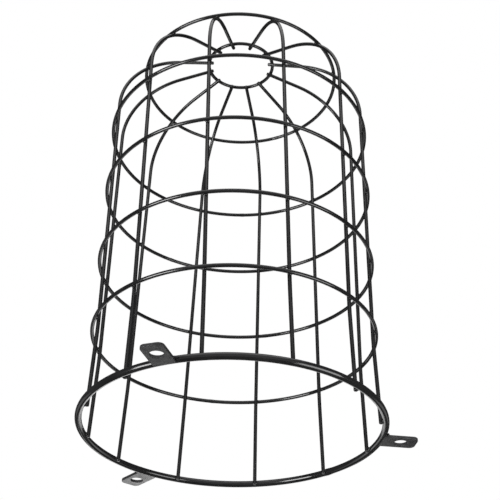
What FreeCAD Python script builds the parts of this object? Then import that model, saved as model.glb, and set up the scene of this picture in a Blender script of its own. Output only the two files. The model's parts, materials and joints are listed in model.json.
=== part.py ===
import FreeCAD, Part
import math
import os

# Welded wire cage guard for a lamp bulb. The open base ring lies on Z = 0 about the Z axis,
# and the closed dome points up. Lengths are in millimetres and angles in degrees.

# Wire stock. A section drawn with flats has the same area as the round wire.
BASE_WIRE = 3.2
CAGE_WIRE = 1.8
BASE_SIDES = 8
CAGE_SIDES = 5
# Weld metal left between two crossed wires.
WELD_FILM = 0.03

# Rings, by the centre lines of their wires.
BASE_RADIUS = 73.9
HOOP_RADIUS = 71.7
LOW_HOOP_HEIGHT = 49.0
TOP_HOOP_DROP = 12.2
# How far each hoop was welded above its even spacing.
HOOP_SHIFTS = (0.0, -1.2, 1.0, 0.0)
SHOULDER_ANGLE = 50.0
CROWN_RADIUS = 19.1
CROWN_HEIGHT = 237.9

# Ribs: bent from the wall into a low conical roof, inside every ring.
ROOF_SLOPE = 13.0
SHOULDER_BEND = 42.5
WAIST_BEND = 150.0
WAIST_DROP = 6.0
FOOT_LIFT = 0.2
TIP_OVERHANG = 1.5
# Each rib's azimuth at the shoulder, and how far it leans sideways from plumb.
RIB_SET = (
    (-167, 2.0), (-133.8, 0.6), (-104.3, 1.0), (-72, 1.0), (-39.5, -0.1), (-11, 0.6),
    (17, 0.5), (49.3, -0.6), (78.1, 0.5), (107.7, 1.8), (139.4, 1.6), (169, 0.5),
)
# Ribs that were cut short, and the height of their feet.
SHORT_RIBS = (3, 4)
SHORT_LIFT = 1.7

# Screw tabs, flush with the underside of the base ring.
TAB_AZIMUTH = 7.0
# How far each tab is turned about its screw hole, out of radial.
TAB_SKEWS = (0.0, 2.0, 5.0)
TAB_WIDTH = 11.0
TAB_LENGTH = 16.0
TAB_THICKNESS = 1.5
TAB_CORNER = 2.8
TAB_HOLE = 6.5
HOLE_INSET = 8.0

UP = FreeCAD.Vector(0, 0, 1)
OUTWARD = FreeCAD.Vector(1, 0, 0)
SIDEWAYS = FreeCAD.Vector(0, 1, 0)
ORIGIN = FreeCAD.Vector(0, 0, 0)
# Where a ring's section turns its welded flat, in degrees from outward towards up.
INWARD = 180
DOWNWARD = 270


def half_width(wire, sides):
    """Distance from a section's centre to its flats, for the area of the round wire."""
    return wire / 2 * math.sqrt(math.pi / (sides * math.tan(math.pi / sides)))


BASE_HALF = half_width(BASE_WIRE, BASE_SIDES)
CAGE_HALF = half_width(CAGE_WIRE, CAGE_SIDES)
CAGE_FLAT = CAGE_HALF * math.tan(math.pi / CAGE_SIDES)
BASE_HEIGHT = BASE_HALF
BASE_SEAT_LOW = BASE_HEIGHT - BASE_HALF * math.tan(math.pi / BASE_SIDES)
CROSSING = 2 * CAGE_HALF + WELD_FILM


def section(centre, across, along, half, sides, seat):
    """Closed polygon about centre, with one flat square to the seat angle from across to along."""
    corner = half / math.cos(math.pi / sides)
    points = []
    for step in range(sides + 1):
        turn = math.radians(seat) + (step % sides + 0.5) * 2 * math.pi / sides
        points.append(centre + across * (corner * math.cos(turn)) + along * (corner * math.sin(turn)))
    return Part.makePolygon(points)


def ring(radius, height, half, sides, seat):
    """Wire ring about the Z axis, with one flat of its section turned to the seat angle."""
    outline = section(FreeCAD.Vector(radius, 0, height), OUTWARD, UP, half, sides, seat)
    return Part.Face(outline).revolve(ORIGIN, UP, 360)


def unit(start, end):
    step = end - start
    return step / step.Length


def bent_path(points, bends):
    """Centre line of a bent wire: straight runs through the points, joined by tangent arcs."""
    edges = []
    start = points[0]
    for before, corner, after, bend in zip(points, points[1:], points[2:], bends):
        arriving = unit(before, corner)
        leaving = unit(corner, after)
        half_turn = arriving.getAngle(leaving) / 2
        setback = bend * math.tan(half_turn)
        first = corner - arriving * setback
        last = corner + leaving * setback
        inward = unit(first + last, corner * 2) * -1
        middle = corner + inward * (bend / math.cos(half_turn) - bend)
        edges.append(Part.makeLine(start, first))
        edges.append(Part.Arc(first, middle, last).toShape())
        start = last
    edges.append(Part.makeLine(start, points[-1]))
    return Part.Wire(edges)


def seat_radius(inner, sideways):
    """Rib centre line that just clears a ring's inside, for a rib that crosses it off centre."""
    face = math.sqrt((inner - WELD_FILM) ** 2 - (abs(sideways) + CAGE_FLAT) ** 2)
    return face - CAGE_HALF


# The roof passes under the crown ring, and the shoulder bend joins it to the wall.
SLOPE = math.radians(ROOF_SLOPE)
WALL_RADIUS = seat_radius(HOOP_RADIUS - CAGE_HALF, 0)
ROOF_TOP = CROWN_HEIGHT - CROSSING / math.cos(SLOPE) + CROWN_RADIUS * math.tan(SLOPE)
BEND_RADIUS = WALL_RADIUS - SHOULDER_BEND
BEND_HEIGHT = ROOF_TOP - SHOULDER_BEND / math.cos(SLOPE) - BEND_RADIUS * math.tan(SLOPE)
TOP_HOOP_HEIGHT = BEND_HEIGHT - TOP_HOOP_DROP
HOOP_PITCH = (TOP_HOOP_HEIGHT - LOW_HOOP_HEIGHT) / (len(HOOP_SHIFTS) - 1)
HOOP_HEIGHTS = [LOW_HOOP_HEIGHT + HOOP_PITCH * step + shift for step, shift in enumerate(HOOP_SHIFTS)]
SHOULDER_TURN = math.radians(SHOULDER_ANGLE)
SHOULDER_RADIUS = BEND_RADIUS + (SHOULDER_BEND + CROSSING) * math.cos(SHOULDER_TURN)
SHOULDER_HEIGHT = BEND_HEIGHT + (SHOULDER_BEND + CROSSING) * math.sin(SHOULDER_TURN)


def rib(azimuth, lean, foot_lift):
    """One rib, from its foot inside the base ring to its tip under the crown ring."""

    def sideways(height):
        return (SHOULDER_HEIGHT - height) * math.tan(math.radians(lean))

    def roof(radius):
        return FreeCAD.Vector(radius, 0, ROOF_TOP - radius * math.tan(SLOPE) - crown_dip)

    low, high = HOOP_HEIGHTS[0], HOOP_HEIGHTS[-1]
    low_radius = seat_radius(HOOP_RADIUS - CAGE_HALF, sideways(low))
    high_radius = seat_radius(HOOP_RADIUS - CAGE_HALF, sideways(high))
    wall_lean = (high_radius - low_radius) / (high - low)
    seat_low = max(foot_lift, BASE_SEAT_LOW)
    seat = seat_radius(BASE_RADIUS - BASE_HALF, sideways(seat_low))
    waist_height = low - WAIST_DROP
    waist = FreeCAD.Vector(low_radius - wall_lean * WAIST_DROP, 0, waist_height)
    foot_lean = (waist.x - seat) / (waist_height - seat_low)
    foot = FreeCAD.Vector(seat + foot_lean * (foot_lift - seat_low), 0, foot_lift)

    # A leaning rib meets the crown a little off centre, so it passes a little lower.
    off_centre = abs(sideways(CROWN_HEIGHT)) + CAGE_FLAT
    crown_dip = (CROWN_RADIUS - math.sqrt(CROWN_RADIUS**2 - off_centre**2)) * math.tan(SLOPE)
    corner_radius = high_radius + wall_lean * (roof(high_radius).z - high)
    corner = roof(corner_radius)
    tip = roof(CROWN_RADIUS - CAGE_HALF - TIP_OVERHANG)

    path = bent_path([foot, waist, corner, tip], [WAIST_BEND, SHOULDER_BEND])
    rise = unit(foot, waist)
    across = SIDEWAYS.cross(rise)
    outline = section(foot, across, SIDEWAYS, CAGE_HALF, CAGE_SIDES, 0)
    wire = path.makePipeShell([outline], True, False)
    wire.rotate(FreeCAD.Vector(0, 0, SHOULDER_HEIGHT), OUTWARD, lean)
    wire.rotate(ORIGIN, UP, azimuth)
    return wire


def tab(azimuth, skew):
    """Flat screw tab, coined at its inner end to the outside of the base ring's wire."""
    outer_edge = BASE_RADIUS + BASE_HALF + TAB_LENGTH
    inner_edge = BASE_RADIUS - TAB_THICKNESS
    corner = FreeCAD.Vector(inner_edge, -TAB_WIDTH / 2, 0)
    plate = Part.makeBox(outer_edge - inner_edge, TAB_WIDTH, TAB_THICKNESS, corner)
    far_edges = [edge for edge in plate.Edges if upright_at(edge, outer_edge)]
    plate = plate.makeFillet(TAB_CORNER, far_edges)
    hole_centre = FreeCAD.Vector(outer_edge - HOLE_INSET, 0, -TAB_THICKNESS)
    plate = plate.cut(Part.makeCylinder(TAB_HOLE / 2, 3 * TAB_THICKNESS, hole_centre))
    plate.rotate(hole_centre, UP, skew)
    plate = plate.cut(Part.makeCylinder(BASE_RADIUS, TAB_THICKNESS))
    plate = plate.cut(ring(BASE_RADIUS, BASE_HEIGHT, BASE_HALF + WELD_FILM, BASE_SIDES, INWARD))
    plate.rotate(ORIGIN, UP, azimuth)
    return plate


def upright_at(edge, x):
    """Whether an edge stands upright at this X."""
    ends = [vertex.Point for vertex in edge.Vertexes]
    return abs(ends[0].x - x) + abs(ends[1].x - x) + abs(ends[0].y - ends[1].y) < 1e-6


def build():
    pieces = {"base_ring": ring(BASE_RADIUS, BASE_HEIGHT, BASE_HALF, BASE_SIDES, INWARD)}
    for count, height in enumerate(HOOP_HEIGHTS, 1):
        pieces["hoop_%d" % count] = ring(HOOP_RADIUS, height, CAGE_HALF, CAGE_SIDES, INWARD)
    pieces["shoulder_hoop"] = ring(
        SHOULDER_RADIUS, SHOULDER_HEIGHT, CAGE_HALF, CAGE_SIDES, INWARD + SHOULDER_ANGLE
    )
    pieces["crown_ring"] = ring(CROWN_RADIUS, CROWN_HEIGHT, CAGE_HALF, CAGE_SIDES, DOWNWARD - ROOF_SLOPE)
    for count, (azimuth, lean) in enumerate(RIB_SET, 1):
        foot_lift = SHORT_LIFT if count in SHORT_RIBS else FOOT_LIFT
        pieces["rib_%02d" % count] = rib(azimuth, lean, foot_lift)
    for count, skew in enumerate(TAB_SKEWS):
        pieces["tab_%d" % (count + 1)] = tab(TAB_AZIMUTH + count * 360 / len(TAB_SKEWS), skew)
    return pieces


os.makedirs("parts", exist_ok=True)
for name, shape in build().items():
    shape.exportStep("parts/%s.step" % name)
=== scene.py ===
import json
import math
import random

import bpy
from mathutils import Matrix, Quaternion, Vector


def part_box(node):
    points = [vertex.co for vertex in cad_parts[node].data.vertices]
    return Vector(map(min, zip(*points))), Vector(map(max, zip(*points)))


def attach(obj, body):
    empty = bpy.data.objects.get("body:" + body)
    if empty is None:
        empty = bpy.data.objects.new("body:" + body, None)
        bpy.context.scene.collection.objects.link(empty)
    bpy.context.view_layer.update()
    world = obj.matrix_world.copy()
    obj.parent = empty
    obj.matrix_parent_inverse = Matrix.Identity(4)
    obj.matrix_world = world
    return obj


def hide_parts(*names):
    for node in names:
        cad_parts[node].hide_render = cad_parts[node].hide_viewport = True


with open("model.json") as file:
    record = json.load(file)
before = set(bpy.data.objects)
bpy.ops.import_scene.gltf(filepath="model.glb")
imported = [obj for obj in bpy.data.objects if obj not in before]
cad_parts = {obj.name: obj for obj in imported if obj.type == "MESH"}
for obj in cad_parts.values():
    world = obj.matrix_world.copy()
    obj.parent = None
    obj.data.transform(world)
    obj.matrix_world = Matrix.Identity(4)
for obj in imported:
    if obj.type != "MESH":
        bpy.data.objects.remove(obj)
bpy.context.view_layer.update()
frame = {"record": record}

bpy.ops.object.select_all(action="DESELECT")

# Base ring: a hoop of heavy mild steel wire that the whole cage stands on. It is rolled from
# one length, butt-welded end to end, and powder-coated satin black with the rest of the cage.
BASE_STEEL = 0.0032
COAT_DEPTH = 0.00008
BASE_WIRE = BASE_STEEL + 2 * COAT_DEPTH
BASE_RADIUS = 0.0739
BASE_HEIGHT = BASE_WIRE / 2
BASE_SIDES = 28
RING_STEPS = 240
# Where the butt weld lies, and how much its flash swells the wire.
BASE_SEAM = math.radians(44)
BASE_FLASH = 0.1
# A butt weld's length in widths of its wire, and the rise and fall of its flash.
SEAM_LENGTH = 1.8
SEAM_FLASH = (0.35, 0.8, 1.0, 0.9, 0.5, 0.0)
SMOOTH_ANGLE = math.radians(40)
MERGE_GAP = 2e-6
UP = Vector((0, 0, 1))


def start_section(name, wire, sides, place, normal, fill):
    """Add a wire's round section, square to its run, and leave it selected in edit mode."""
    turn = normal.to_track_quat("Z", "Y").to_euler()
    bpy.ops.mesh.primitive_circle_add(
        vertices=sides, radius=wire / 2, fill_type=fill, location=place, rotation=turn
    )
    piece = bpy.context.object
    piece.name = name
    bpy.ops.object.transform_apply(location=True, rotation=True, scale=True)
    bpy.ops.object.mode_set(mode="EDIT")
    bpy.ops.mesh.select_all(action="SELECT")
    return piece


def close_mesh(piece):
    """Merge what meets, turn the faces outwards, and leave edit mode with smooth shading."""
    bpy.ops.mesh.select_all(action="SELECT")
    bpy.ops.mesh.remove_doubles(threshold=MERGE_GAP)
    bpy.ops.mesh.normals_make_consistent(inside=False)
    bpy.ops.object.mode_set(mode="OBJECT")
    bpy.ops.object.shade_smooth_by_angle(angle=SMOOTH_ANGLE)
    piece.select_set(False)
    return piece


def swell_section(factor, centre):
    """Scale the selected section about a point."""
    bpy.ops.transform.resize(value=(factor, factor, factor), center_override=centre)


def add_ring(name, wire, radius, height, seam, sides, flash):
    """Roll a ring by spinning a section about Z, with the flash of a butt weld at its seam."""
    place = Vector((radius * math.cos(seam), radius * math.sin(seam), height))
    piece = start_section(name, wire, sides, place, UP.cross(place), "NOTHING")
    step = SEAM_LENGTH * wire / len(SEAM_FLASH) / radius
    before = 1
    for count, rise in enumerate(SEAM_FLASH, 1):
        swell = 1 + flash * rise
        bpy.ops.mesh.spin(steps=1, angle=-step, center=(0, 0, 0), axis=UP)
        swell_section(swell / before, Matrix.Rotation(count * step, 3, "Z") @ place)
        before = swell
    rest = 2 * math.pi - step * len(SEAM_FLASH)
    bpy.ops.mesh.spin(steps=RING_STEPS, angle=-rest, center=(0, 0, 0), axis=UP)
    return close_mesh(piece)


# The orange peel of a baked powder coat is a fine noise. Patches where the coat lies thicker are
# a coarse one, which also lifts the surface by a part of its own height.
PEEL_DETAIL = 2.0
PATCH_DETAIL = 3.0
PATCH_LIFT = 0.35
# The part of the patch noise over which colour and gloss change, and a trace of blue.
PATCH_SPAN = (0.3, 0.7)
COAT_BLUE = 1.04
PEEL_STRENGTH = 0.6


def coat_grain():
    """Shader group: the height of the coat's surface, and the patches where it lies thicker."""
    group = bpy.data.node_groups.new("coat_grain", "ShaderNodeTree")
    for label in ("Peel Scale", "Patch Scale"):
        group.interface.new_socket(label, in_out="INPUT", socket_type="NodeSocketFloat")
    for label in ("Height", "Patch"):
        group.interface.new_socket(label, in_out="OUTPUT", socket_type="NodeSocketFloat")
    nodes, links = group.nodes, group.links
    inputs = nodes.new("NodeGroupInput")
    outputs = nodes.new("NodeGroupOutput")
    place = nodes.new("ShaderNodeTexCoord")
    peel = nodes.new("ShaderNodeTexNoise")
    peel.inputs["Detail"].default_value = PEEL_DETAIL
    links.new(place.outputs["Object"], peel.inputs["Vector"])
    links.new(inputs.outputs["Peel Scale"], peel.inputs["Scale"])
    patch = nodes.new("ShaderNodeTexNoise")
    patch.inputs["Detail"].default_value = PATCH_DETAIL
    links.new(place.outputs["Object"], patch.inputs["Vector"])
    links.new(inputs.outputs["Patch Scale"], patch.inputs["Scale"])
    lift = nodes.new("ShaderNodeMath")
    lift.operation = "MULTIPLY"
    lift.inputs[1].default_value = PATCH_LIFT
    links.new(patch.outputs["Fac"], lift.inputs[0])
    height = nodes.new("ShaderNodeMath")
    height.operation = "ADD"
    links.new(peel.outputs["Fac"], height.inputs[0])
    links.new(lift.outputs[0], height.inputs[1])
    links.new(height.outputs[0], outputs.inputs["Height"])
    links.new(patch.outputs["Fac"], outputs.inputs["Patch"])
    return group


COAT_GRAIN = coat_grain()


def add_coat(name, shades, roughness, peel_scale, patch_scale, relief):
    """Powder coat between two near-black shades and two roughnesses, on the shared grain."""
    material = bpy.data.materials.new(name)
    material.use_nodes = True
    nodes, links = material.node_tree.nodes, material.node_tree.links
    shader = nodes["Principled BSDF"]
    grain = nodes.new("ShaderNodeGroup")
    grain.node_tree = COAT_GRAIN
    grain.inputs["Peel Scale"].default_value = peel_scale
    grain.inputs["Patch Scale"].default_value = patch_scale
    colour = nodes.new("ShaderNodeValToRGB")
    for stop, place, shade in zip(colour.color_ramp.elements, PATCH_SPAN, shades):
        stop.position = place
        stop.color = (shade, shade, shade * COAT_BLUE, 1)
    links.new(grain.outputs["Patch"], colour.inputs["Fac"])
    links.new(colour.outputs["Color"], shader.inputs["Base Color"])
    gloss = nodes.new("ShaderNodeMapRange")
    gloss.inputs["From Min"].default_value, gloss.inputs["From Max"].default_value = PATCH_SPAN
    gloss.inputs["To Min"].default_value, gloss.inputs["To Max"].default_value = roughness
    links.new(grain.outputs["Patch"], gloss.inputs["Value"])
    links.new(gloss.outputs["Result"], shader.inputs["Roughness"])
    bump = nodes.new("ShaderNodeBump")
    bump.inputs["Strength"].default_value = PEEL_STRENGTH
    bump.inputs["Distance"].default_value = relief
    links.new(grain.outputs["Height"], bump.inputs["Height"])
    links.new(bump.outputs["Normal"], shader.inputs["Normal"])
    return material


WIRE_COAT = add_coat(
    "wire_powder_coat",
    shades=(0.007, 0.014),
    roughness=(0.11, 0.17),
    peel_scale=900,
    patch_scale=60,
    relief=0.000006,
)


def finish_piece(piece, coat, *nodes):
    """Coat a finished piece, tie it to the cage, and hide the bare solids it stands for."""
    piece.data.materials.clear()
    piece.data.materials.append(coat)
    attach(piece, "root")
    if nodes:
        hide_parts(*nodes)
    return piece


finish_piece(
    add_ring("base_hoop", BASE_WIRE, BASE_RADIUS, BASE_HEIGHT, BASE_SEAM, BASE_SIDES, BASE_FLASH),
    WIRE_COAT,
    "base_ring",
)

# Hoops: rings of thinner steel wire that hold the ribs apart. Each is rolled and butt-welded,
# then spot-welded to every rib in a jig.
CAGE_STEEL = 0.0018
CAGE_WIRE = CAGE_STEEL + 2 * COAT_DEPTH
CAGE_SIDES = 20
HOOP_RADIUS = 0.0717
HOOPS = ("hoop_1", "hoop_2", "hoop_3", "hoop_4")
HOOP_SEAMS = [math.radians(seam) for seam in (98, 74, 121, 86)]
HOOP_FLASH = 0.07


def middle_height(node):
    """Height of a hoop's centre line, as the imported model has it."""
    low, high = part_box(node)
    return (low[2] + high[2]) / 2


hoop_heights = [middle_height(node) for node in HOOPS]
for node, height, seam in zip(HOOPS, hoop_heights, HOOP_SEAMS):
    hoop = add_ring(node + "_wire", CAGE_WIRE, HOOP_RADIUS, height, seam, CAGE_SIDES, HOOP_FLASH)
    finish_piece(hoop, WIRE_COAT, node)

# Crown ring and shoulder hoop: the small ring that closes the dome over the ribs' tips, and the
# hoop round the outside of their shoulder bends. Both are welded on the outside of the ribs.
CROWN_RADIUS = 0.0191
CROWN_HEIGHT = 0.2379
CROWN_SEAM = math.radians(150)
SHOULDER_SEAM = math.radians(63)
ROOF_SLOPE = math.radians(13)
SHOULDER_BEND = 0.0425
SHOULDER_TURN = math.radians(50)
# Where two thin wires cross, the weld has sunk them a tenth of a millimetre into each other.
WELD_SINK = 0.0001
CROSSING = CAGE_STEEL - WELD_SINK

wall_radius = HOOP_RADIUS - CROSSING
roof_top = CROWN_HEIGHT - CROSSING / math.cos(ROOF_SLOPE) + CROWN_RADIUS * math.tan(ROOF_SLOPE)
bend_centre = wall_radius - SHOULDER_BEND
bend_height = roof_top - SHOULDER_BEND / math.cos(ROOF_SLOPE) - bend_centre * math.tan(ROOF_SLOPE)
shoulder_radius = bend_centre + (SHOULDER_BEND + CROSSING) * math.cos(SHOULDER_TURN)
shoulder_height = bend_height + (SHOULDER_BEND + CROSSING) * math.sin(SHOULDER_TURN)

SMALL_RINGS = (
    ("shoulder_hoop", shoulder_radius, shoulder_height, SHOULDER_SEAM),
    ("crown_ring", CROWN_RADIUS, CROWN_HEIGHT, CROWN_SEAM),
)
for node, radius, height, seam in SMALL_RINGS:
    small = add_ring(node + "_wire", CAGE_WIRE, radius, height, seam, CAGE_SIDES, HOOP_FLASH)
    finish_piece(small, WIRE_COAT, node)

# Ribs: straightened lengths of the thin wire, sheared to length, then bent a little at the waist
# and sharply at the shoulder. They stand inside every ring, and their tips end in the crown ring.
WAIST_BEND = 0.15
WAIST_DROP = 0.006
FOOT_LIFT = 0.0002
# Two ribs were cut short, and their feet stand a little higher.
SHORT_RIBS = (3, 4)
SHORT_LIFT = 0.0017
TIP_OVERHANG = 0.0015
RUN_STEP = 0.006
BEND_STEP = math.radians(3)
# A sheared end's worn rim: the steps in from its face, and the width at each in widths of wire.
RIM_STEPS = (0.0001, 0.00015, 0.00025)
RIM_WIDTHS = (0.6, 0.82, 0.95, 1.0)
# Each rib's azimuth at the shoulder, and how far it leans sideways from plumb, in degrees.
RIBS = (
    (-167, 2.0), (-133.8, 0.6), (-104.3, 1.0), (-72, 1.0), (-39.5, -0.1), (-11, 0.6),
    (17, 0.5), (49.3, -0.6), (78.1, 0.5), (107.7, 1.8), (139.4, 1.6), (169, 0.5),
)


def push_run(start, end):
    """Extrude the selected section along a straight run, in short steps."""
    steps = max(1, round((end - start).length / RUN_STEP))
    for _ in range(steps):
        bpy.ops.mesh.extrude_region_move(TRANSFORM_OT_translate={"value": (end - start) / steps})


def push_rim(place, heading, steps, widths):
    """Extrude the selected section through a sheared end's rim, and return where it stops."""
    for step, before, width in zip(steps, widths, widths[1:]):
        place = place + heading * step
        bpy.ops.mesh.extrude_region_move(TRANSFORM_OT_translate={"value": heading * step})
        swell_section(width / before, place)
    return place


def push_bend(corner, arriving, leaving, bend):
    """Spin the selected section round a bend at this corner of the wire's route."""
    turn = arriving.angle(leaving)
    axis = arriving.cross(leaving).normalized()
    first = corner - arriving * bend * math.tan(turn / 2)
    steps = max(1, math.ceil(turn / BEND_STEP))
    bpy.ops.mesh.spin(steps=steps, angle=-turn, center=first + axis.cross(arriving) * bend, axis=axis)


def sideways(height, lean):
    """How far a leaning rib stands to one side at this height."""
    return (shoulder_height - height) * math.tan(lean)


def seat_radius(ring_radius, gap, offset):
    """Where a rib's centre line runs inside a ring, if it crosses the ring this far off centre."""
    return math.sqrt((ring_radius - gap) ** 2 - offset**2)


BASE_GAP = (BASE_STEEL + CAGE_STEEL) / 2 - WELD_SINK


def add_rib(name, lean, lift):
    """Bend one rib in the XZ plane, from its foot in the base ring to its tip."""
    low, high = hoop_heights[0], hoop_heights[-1]
    low_radius = seat_radius(HOOP_RADIUS, CROSSING, sideways(low, lean))
    high_radius = seat_radius(HOOP_RADIUS, CROSSING, sideways(high, lean))
    wall_lean = (high_radius - low_radius) / (high - low)
    foot_radius = seat_radius(BASE_RADIUS, BASE_GAP, sideways(BASE_HEIGHT, lean))
    off_centre = sideways(CROWN_HEIGHT, lean)
    crown_dip = (CROWN_RADIUS - math.sqrt(CROWN_RADIUS**2 - off_centre**2)) * math.tan(ROOF_SLOPE)

    def roof(radius):
        """Where the rib's run over the roof stands at this radius."""
        return Vector((radius, 0, roof_top - crown_dip - radius * math.tan(ROOF_SLOPE)))

    foot = Vector((foot_radius, 0, lift))
    waist = Vector((low_radius - wall_lean * WAIST_DROP, 0, low - WAIST_DROP))
    corner = roof(high_radius + wall_lean * (roof(high_radius).z - high))
    tip = roof(CROWN_RADIUS - CAGE_WIRE / 2 - TIP_OVERHANG)
    rise = (waist - foot).normalized()
    wall = (corner - waist).normalized()
    fall = (tip - corner).normalized()

    piece = start_section(name, CAGE_WIRE * RIM_WIDTHS[0], CAGE_SIDES, foot, rise, "NGON")
    start = push_rim(foot, rise, RIM_STEPS, RIM_WIDTHS)
    waist_set = WAIST_BEND * math.tan(rise.angle(wall) / 2)
    corner_set = SHOULDER_BEND * math.tan(wall.angle(fall) / 2)
    push_run(start, waist - rise * waist_set)
    push_bend(waist, rise, wall, WAIST_BEND)
    push_run(waist + wall * waist_set, corner - wall * corner_set)
    push_bend(corner, wall, fall, SHOULDER_BEND)
    last = tip - fall * sum(RIM_STEPS)
    push_run(corner + fall * corner_set, last)
    push_rim(last, fall, RIM_STEPS[::-1], RIM_WIDTHS[::-1])
    return close_mesh(piece)


def stand_up(piece, azimuth, lean):
    """Lean a rib about its shoulder, turn it to its azimuth, and leave that in its mesh."""
    about = Matrix.Translation((0, 0, shoulder_height))
    piece.matrix_world = (
        Matrix.Rotation(azimuth, 4, "Z") @ about @ Matrix.Rotation(lean, 4, "X") @ about.inverted()
    )
    piece.select_set(True)
    bpy.ops.object.transform_apply(location=True, rotation=True, scale=True)
    piece.select_set(False)
    return piece


ribs = [(math.radians(azimuth), math.radians(lean)) for azimuth, lean in RIBS]
for count, (azimuth, lean) in enumerate(ribs, 1):
    node = "rib_%02d" % count
    lift = SHORT_LIFT if count in SHORT_RIBS else FOOT_LIFT
    rib = stand_up(add_rib(node + "_wire", lean, lift), azimuth, lean)
    finish_piece(rib, WIRE_COAT, node)

# Spot welds: the metal squeezed out where each rib crosses a ring, under a slightly thicker
# coat. Each is a small flat cushion between the two wires, and no two are quite alike.
NUGGET_WIDTH = 0.00125
NUGGET_DEPTH = 0.00062
NUGGET_SPREAD = 0.14
NUGGET_SEGMENTS = 20
NUGGET_RINGS = 12
BASE_NUGGET_GROWTH = 1.1
# How much higher a short rib is welded to the base ring.
SHORT_RISE = 0.0008
CROWN_TILT = math.pi / 2 - ROOF_SLOPE
WELD_COAT = add_coat(
    "weld_powder_coat",
    shades=(0.009, 0.016),
    roughness=(0.2, 0.3),
    peel_scale=700,
    patch_scale=90,
    relief=0.000015,
)
WELD_SEED = 11
weld_dice = random.Random(WELD_SEED)


def add_nugget(place, azimuth, tilt, growth):
    """Press one weld flat, facing out from the axis and tilted up by this angle."""
    bpy.ops.mesh.primitive_uv_sphere_add(
        segments=NUGGET_SEGMENTS, ring_count=NUGGET_RINGS, radius=NUGGET_WIDTH
    )
    piece = bpy.context.object
    bpy.ops.object.mode_set(mode="EDIT")
    bpy.ops.mesh.select_all(action="SELECT")
    size = [growth * weld_dice.uniform(1 - NUGGET_SPREAD, 1 + NUGGET_SPREAD) for _ in range(3)]
    flat = (size[0] * NUGGET_DEPTH / NUGGET_WIDTH, size[1], size[2])
    bpy.ops.transform.resize(value=flat, center_override=(0, 0, 0))
    bpy.ops.object.mode_set(mode="OBJECT")
    turn = Matrix.Rotation(azimuth, 4, "Z") @ Matrix.Rotation(-tilt, 4, "Y")
    piece.matrix_world = Matrix.Translation(place) @ turn
    bpy.ops.object.transform_apply(location=True, rotation=True, scale=True)
    return piece


def weld_ring(name, radius, height, gap, ring_wire, tilt=0, growth=1, raised=()):
    """Weld every rib to one ring, some a little higher, and join the welds into one piece."""
    # A weld's middle lies halfway through the depth to which the two coated wires have sunk.
    sunk = (ring_wire + CAGE_WIRE) / 2 - gap
    inset = (ring_wire - sunk) / 2
    out = radius - inset * math.cos(tilt)
    welds = []
    for count, (azimuth, lean) in enumerate(ribs, 1):
        offset = sideways(height, lean)
        turn = azimuth + math.atan2(offset, seat_radius(radius, 0, offset))
        rise = SHORT_RISE if count in raised else 0
        place = (out * math.cos(turn), out * math.sin(turn), height + rise - inset * math.sin(tilt))
        welds.append(add_nugget(place, turn, tilt, growth))
    for weld in welds:
        weld.select_set(True)
    bpy.ops.object.join()
    piece = bpy.context.object
    piece.name = name
    bpy.ops.object.shade_smooth_by_angle(angle=SMOOTH_ANGLE)
    piece.select_set(False)
    return finish_piece(piece, WELD_COAT)


weld_ring(
    "base_welds",
    BASE_RADIUS,
    BASE_HEIGHT,
    BASE_GAP,
    BASE_WIRE,
    growth=BASE_NUGGET_GROWTH,
    raised=SHORT_RIBS,
)
for node, height in zip(HOOPS, hoop_heights):
    weld_ring(node + "_welds", HOOP_RADIUS, height, CROSSING, CAGE_WIRE)
weld_ring("shoulder_welds", shoulder_radius, shoulder_height, CROSSING, CAGE_WIRE, SHOULDER_TURN)
weld_ring("crown_welds", CROWN_RADIUS, CROWN_HEIGHT, CROSSING, CAGE_WIRE, CROWN_TILT)

# Screw tabs: short lengths of flat strip with a punched hole and rounded outer corners, set
# against the base ring's underside level by hand, so each is turned a little out of square.
TAB_WIDTH = 0.011
TAB_THICKNESS = 0.0015
TAB_CORNER = 0.0028
HOLE_INSET = 0.008
TAB_AZIMUTH = math.radians(7)
TAB_SKEWS = [math.radians(skew) for skew in (0, 2, 5)]
CORNER_SEGMENTS = 10
HOLE_SEGMENTS = 64
# The punched and sheared edges, worn a little round.
EDGE_ROUND = 0.00022
EDGE_SEGMENTS = 3
MM_IN_METRE = 1000
TAB_COAT = add_coat(
    "tab_powder_coat",
    shades=(0.013, 0.03),
    roughness=(0.3, 0.46),
    peel_scale=620,
    patch_scale=260,
    relief=0.00003,
)

screw_holes = next(m for m in frame["record"]["mounts"] if m["name"] == "screw_holes")["dims"]
hole_circle = screw_holes["pcd_mm"] / 2 / MM_IN_METRE
hole_radius = screw_holes["hole_r_mm"] / MM_IN_METRE
tab_reach = hole_circle + HOLE_INSET


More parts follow.
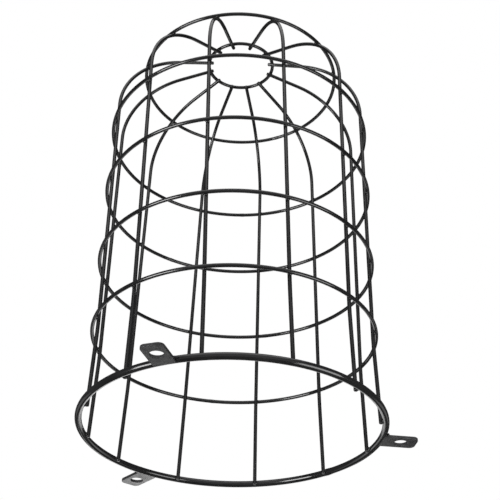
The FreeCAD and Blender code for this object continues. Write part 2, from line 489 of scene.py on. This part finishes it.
def add_tab(name, azimuth, skew):
    """Cut, corner and punch one tab along X, then turn it about its hole and set it in place."""
    length = tab_reach - BASE_RADIUS
    bpy.ops.mesh.primitive_cube_add(size=1, location=(BASE_RADIUS + length / 2, 0, TAB_THICKNESS / 2))
    piece = bpy.context.object
    piece.name = name
    piece.scale = (length, TAB_WIDTH, TAB_THICKNESS)
    bpy.ops.object.transform_apply(location=True, rotation=True, scale=True)
    bpy.ops.object.mode_set(mode="EDIT")
    bpy.ops.mesh.select_mode(type="EDGE")
    bpy.ops.mesh.select_all(action="DESELECT")
    bpy.ops.object.mode_set(mode="OBJECT")
    for edge in piece.data.edges:
        ends = [piece.data.vertices[index].co for index in edge.vertices]
        edge.select = all(abs(end.x - tab_reach) < MERGE_GAP for end in ends) and (
            abs(ends[0].y - ends[1].y) < MERGE_GAP
        )
    bpy.ops.object.mode_set(mode="EDIT")
    bpy.ops.mesh.bevel(offset=TAB_CORNER, segments=CORNER_SEGMENTS, affect="EDGES")
    bpy.ops.object.mode_set(mode="OBJECT")
    bpy.ops.mesh.primitive_cylinder_add(
        vertices=HOLE_SEGMENTS, radius=hole_radius, depth=4 * TAB_THICKNESS, location=(hole_circle, 0, 0)
    )
    punch = bpy.context.object
    cut = piece.modifiers.new("punch", "BOOLEAN")
    cut.operation = "DIFFERENCE"
    cut.object = punch
    edges = piece.modifiers.new("edges", "BEVEL")
    edges.width = EDGE_ROUND
    edges.segments = EDGE_SEGMENTS
    edges.angle_limit = SMOOTH_ANGLE
    flat = piece.modifiers.new("flat", "WEIGHTED_NORMAL")
    flat.keep_sharp = True
    bpy.context.view_layer.objects.active = piece
    punch.select_set(False)
    piece.select_set(True)
    bpy.ops.object.shade_smooth()
    for modifier in (cut, edges, flat):
        bpy.ops.object.modifier_apply(modifier=modifier.name)
    bpy.data.objects.remove(punch)
    about = Matrix.Translation((hole_circle, 0, 0))
    piece.matrix_world = (
        Matrix.Rotation(azimuth, 4, "Z") @ about @ Matrix.Rotation(skew, 4, "Z") @ about.inverted()
    )
    bpy.ops.object.transform_apply(location=True, rotation=True, scale=True)
    piece.select_set(False)
    return piece


tab_count = len(TAB_SKEWS)
tab_azimuths = [TAB_AZIMUTH + count * 2 * math.pi / tab_count for count in range(tab_count)]
for count, (azimuth, skew) in enumerate(zip(tab_azimuths, TAB_SKEWS), 1):
    tab = add_tab("tab_%d_strip" % count, azimuth, skew)
    finish_piece(tab, TAB_COAT, "tab_%d" % count)

# Tab weld beads: a short run of weld laid over each tab, along the outside of the base ring.
# It is lumpy, and its ends wrap a little past the tab's edges.
BEAD_SIZE = 0.0016
BEAD_SIDES = 16
BEAD_STEPS = 22
BEAD_PAST = 0.0011
BEAD_OUT = 0.0006
# How wide the bead is at each step in from its ends, and how much its lumps vary.
BEAD_ENDS = (0.35, 0.7, 0.9)
BEAD_LUMPS = (0.86, 1.12)


def add_bead(name, azimuth):
    """Spin a small lumpy section along the ring, over the width of one tab."""
    radius = BASE_RADIUS + BASE_WIRE / 2 + BEAD_OUT
    sweep = (TAB_WIDTH + 2 * BEAD_PAST) / radius
    step = sweep / BEAD_STEPS
    start = azimuth - sweep / 2
    place = Vector((radius * math.cos(start), radius * math.sin(start), TAB_THICKNESS))
    size = BEAD_SIZE * BEAD_ENDS[0]
    piece = start_section(name, size, BEAD_SIDES, place, UP.cross(place), "NGON")
    before = BEAD_ENDS[0]
    for count in range(1, BEAD_STEPS + 1):
        from_end = min(count, BEAD_STEPS - count)
        limit = BEAD_ENDS[from_end] if from_end < len(BEAD_ENDS) else 1
        swell = limit * weld_dice.uniform(*BEAD_LUMPS)
        bpy.ops.mesh.spin(steps=1, angle=-step, center=(0, 0, 0), axis=UP)
        swell_section(swell / before, Matrix.Rotation(count * step, 3, "Z") @ place)
        before = swell
    return close_mesh(piece)


for count, azimuth in enumerate(tab_azimuths, 1):
    finish_piece(add_bead("tab_%d_bead" % count, azimuth), WELD_COAT)

# Stage: a pale floor just under the guard, seen only from above, in a room that is white to the
# camera and dim in reflections. A softbox hangs overhead, a soft wall stands in front, and a small
# lamp stands low at each side. Dim panels and cards behind give the base ring its grey inside.
FLOOR_SIZE = 6
FLOOR_DROP = 0.0006
FLOOR_SHADE = 0.86
FLOOR_FADE = (0.45, 1.6)
ROOM_LIGHT = 0.5
ROOM_SHINE = 0.05


def add_floor():
    """One-sided pale floor that fades into the white room a few steps away."""
    bpy.ops.mesh.primitive_plane_add(size=FLOOR_SIZE, location=(0, 0, -FLOOR_DROP))
    floor = bpy.context.object
    floor.name = "floor"
    material = bpy.data.materials.new("pale_floor")
    material.use_nodes = True
    nodes, links = material.node_tree.nodes, material.node_tree.links
    nodes.clear()
    place = nodes.new("ShaderNodeTexCoord")
    reach = nodes.new("ShaderNodeVectorMath")
    reach.operation = "LENGTH"
    links.new(place.outputs["Object"], reach.inputs[0])
    fade = nodes.new("ShaderNodeMapRange")
    fade.interpolation_type = "SMOOTHSTEP"
    fade.inputs["From Min"].default_value, fade.inputs["From Max"].default_value = FLOOR_FADE
    fade.inputs["To Min"].default_value, fade.inputs["To Max"].default_value = 1, 0
    links.new(reach.outputs["Value"], fade.inputs["Value"])
    path = nodes.new("ShaderNodeLightPath")
    facing = nodes.new("ShaderNodeNewGeometry")
    front = nodes.new("ShaderNodeMath")
    front.operation = "SUBTRACT"
    front.use_clamp = True
    links.new(path.outputs["Is Camera Ray"], front.inputs[0])
    links.new(facing.outputs["Backfacing"], front.inputs[1])
    show = nodes.new("ShaderNodeMath")
    show.operation = "MULTIPLY"
    links.new(front.outputs[0], show.inputs[0])
    links.new(fade.outputs["Result"], show.inputs[1])
    paint = nodes.new("ShaderNodeBsdfDiffuse")
    paint.inputs["Color"].default_value = (FLOOR_SHADE, FLOOR_SHADE, FLOOR_SHADE, 1)
    clear = nodes.new("ShaderNodeBsdfTransparent")
    mix = nodes.new("ShaderNodeMixShader")
    links.new(show.outputs[0], mix.inputs["Fac"])
    links.new(clear.outputs["BSDF"], mix.inputs[1])
    links.new(paint.outputs["BSDF"], mix.inputs[2])
    out = nodes.new("ShaderNodeOutputMaterial")
    links.new(mix.outputs["Shader"], out.inputs["Surface"])
    floor.data.materials.append(material)
    floor.select_set(False)


def add_room():
    """White to the camera, dim in reflections, and an even fill light on the coat."""
    world = bpy.data.worlds.new("white_room")
    bpy.context.scene.world = world
    world.use_nodes = True
    nodes, links = world.node_tree.nodes, world.node_tree.links
    nodes.clear()
    path = nodes.new("ShaderNodeLightPath")
    seen = nodes.new("ShaderNodeMath")
    seen.operation = "MAXIMUM"
    links.new(path.outputs["Is Camera Ray"], seen.inputs[0])
    links.new(path.outputs["Is Transmission Ray"], seen.inputs[1])
    shine = nodes.new("ShaderNodeMix")
    shine.inputs["A"].default_value = ROOM_LIGHT
    shine.inputs["B"].default_value = ROOM_SHINE
    links.new(path.outputs["Is Glossy Ray"], shine.inputs["Factor"])
    level = nodes.new("ShaderNodeMix")
    level.inputs["B"].default_value = 1
    links.new(seen.outputs[0], level.inputs["Factor"])
    links.new(shine.outputs["Result"], level.inputs["A"])
    room = nodes.new("ShaderNodeBackground")
    room.inputs["Color"].default_value = (1, 1, 1, 1)
    links.new(level.outputs["Result"], room.inputs["Strength"])
    out = nodes.new("ShaderNodeOutputWorld")
    links.new(room.outputs["Background"], out.inputs["Surface"])


def add_lamp(name, place, aim, size, power, roll=0):
    """Soft rectangular lamp, turned to its aim, rolled by some degrees and hidden from the camera."""
    bpy.ops.object.light_add(type="AREA", location=place)
    lamp = bpy.context.object
    lamp.name = name
    facing = (Vector(aim) - Vector(place)).to_track_quat("-Z", "Y")
    lamp.rotation_euler = (facing @ Quaternion((0, 0, 1), math.radians(roll))).to_euler()
    lamp.data.shape = "RECTANGLE"
    lamp.data.size, lamp.data.size_y = size
    lamp.data.energy = power
    lamp.visible_camera = False


add_floor()
add_room()
add_lamp("overhead_softbox", (0, -0.5, 1.25), (0, 0, 0.1), (1.6, 1.5), 11)
add_lamp("front_wall", (0, -1.6, 0.12), (0, 0, 0.12), (3.8, 2.2), 10.5)
add_lamp("back_panel", (0, 0.42, -0.03), (0, 0, -0.03), (0.27, 0.26), 0.35)
add_lamp("back_left_panel", (-0.5, 0.42, -0.22), (-0.5, 0, -0.22), (0.34, 0.3), 0.16)
add_lamp("back_right_panel", (0.5, 0.42, -0.22), (0.5, 0, -0.22), (0.34, 0.3), 0.19)
# The cards and the low lamps keep below the floor, so that they leave no bright edge on it.
add_lamp("left_card", (-0.192, 0.254, -0.125), (0.171, 0.423, -0.125), (0.36, 0.24), 0.2)
add_lamp("right_card", (0.192, 0.254, -0.125), (-0.171, 0.423, -0.125), (0.36, 0.24), 0.2)
add_lamp("tab_card", (-0.075, 0.2, -0.05), (-0.05, 0.08, 0), (0.08, 0.06), 0.02)
add_lamp("left_lamp", (-0.5, -0.325, -0.195), (0, 0, 0), (0.26, 0.34), 3.8, roll=-10)
add_lamp("right_lamp", (0.25, -0.16, -0.108), (0, 0, 0), (0.17, 0.18), 0.58, roll=10)

# Camera: below the guard's base and well in front of it, looking up into the cage with a
# short telephoto lens, as in the photograph.
CAMERA_PLACE = Vector((0, -0.4796, -0.2123))
CAMERA_HEADING = Vector((0.0127, 0.834, 0.5515))
CAMERA_ROLL = Quaternion((0, 0, 1), math.radians(0.88))
CAMERA_LENS = 77.2
CAMERA_SENSOR = 36

bpy.ops.object.camera_add(location=CAMERA_PLACE)
camera = bpy.context.object
camera.rotation_mode = "QUATERNION"
camera.rotation_quaternion = CAMERA_HEADING.to_track_quat("-Z", "Y") @ CAMERA_ROLL
camera.data.sensor_width = CAMERA_SENSOR
camera.data.lens = CAMERA_LENS
bpy.context.scene.camera = camera
bpy.context.scene.view_settings.view_transform = "Standard"
